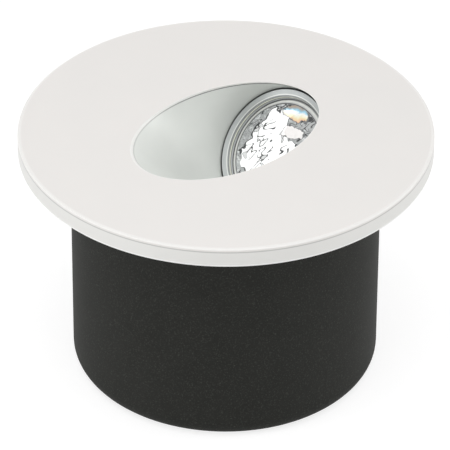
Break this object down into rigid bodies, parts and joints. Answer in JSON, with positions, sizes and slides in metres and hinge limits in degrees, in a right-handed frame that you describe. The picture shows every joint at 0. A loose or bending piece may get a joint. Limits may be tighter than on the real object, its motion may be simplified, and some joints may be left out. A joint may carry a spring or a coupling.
{
  "type": "recessed step light",
  "caption": "Round recessed step light: white faceplate with a slanted oval opening, silver scoop, hammered glass lens, and a light that pushes into a black mounting sleeve.",
  "frame": {"origin": "centre of the mounting sleeve's base", "axes": "+Z is the faceplate's outward normal, +Y runs from the centre to the lamp end of the opening (the upper end in a wall), and +X is across the opening"},
  "size_m": [0.08, 0.08, 0.0515],
  "materials": {
    "sleeve_plastic": "fine grain",
    "white_coat": "satin powder coat",
    "silver": "satin anodised",
    "ring_metal": "turned, semi-bright",
    "lens_glass": "clear, hammered face",
    "black_rubber": "plain",
    "mirror_coat": "metallised",
    "lamp_board": "white solder mask",
    "led_white": "gloss",
    "led_yellow": "gloss",
    "thermal_silicone": "plain",
    "cast_metal": "as cast",
    "steel": "bright",
    "green_board": "solder mask",
    "ferrite": "plain",
    "yellow_tape": "gloss",
    "capacitor_sleeve": "gloss",
    "chip_black": "plain",
    "terminal_green": "gloss",
    "brass": "plain",
    "red_wire": "gloss",
    "black_wire": "gloss",
    "gland_nylon": "fine grain"
  },
  "bodies": {
    "sleeve": {"mounting_sleeve": "sleeve_plastic", "entry_grommet": "black_rubber"},
    "light": {"faceplate": "white_coat", "plate_seal": "black_rubber", "faceplate_gasket": "black_rubber", "scoop": "silver", "lens_ring": "ring_metal", "lens": "lens_glass", "lens_gasket": "black_rubber", "reflector": "mirror_coat", "led_board": "lamp_board", "thermal_pad": "thermal_silicone", "led_package": "led_white", "led_phosphor": "led_yellow", "barrel": "cast_metal", "plate_screws": "steel", "rear_cover": "cast_metal", "rear_seal": "black_rubber", "cover_screws": "steel", "driver_board": "green_board", "board_screws": "steel", "transformer_core": "ferrite", "transformer_coil": "yellow_tape", "capacitors": "capacitor_sleeve", "driver_chips": "chip_black", "terminal_block": "terminal_green", "terminal_screws": "brass", "led_lead_plus": "red_wire", "led_lead_minus": "black_wire", "gland_washer": "black_rubber", "cable_gland": "gland_nylon", "gland_bush": "black_rubber", "gland_nut": "gland_nylon", "gland_locknut": "gland_nylon", "spring_screws": "steel"},
    "spring_right": {"spring_right": "steel"},
    "spring_left": {"spring_left": "steel"}
  },
  "joints": [
    {"name": "light_slide", "type": "slide", "parent": "sleeve", "child": "light", "axis": [0, 0, 1], "range_m": [0, 0.055]},
    {"name": "spring_right_flex", "type": "hinge", "parent": "light", "child": "spring_right", "pos_m": [0.0248, 0, 0.0235], "axis": [0, -1, 0], "range_deg": [0, 2], "stiffness_Nm_per_rad": 0.1},
    {"name": "spring_left_flex", "type": "hinge", "parent": "light", "child": "spring_left", "pos_m": [-0.0248, 0, 0.0235], "axis": [0, 1, 0], "range_deg": [0, 2], "stiffness_Nm_per_rad": 0.1}
  ]
}
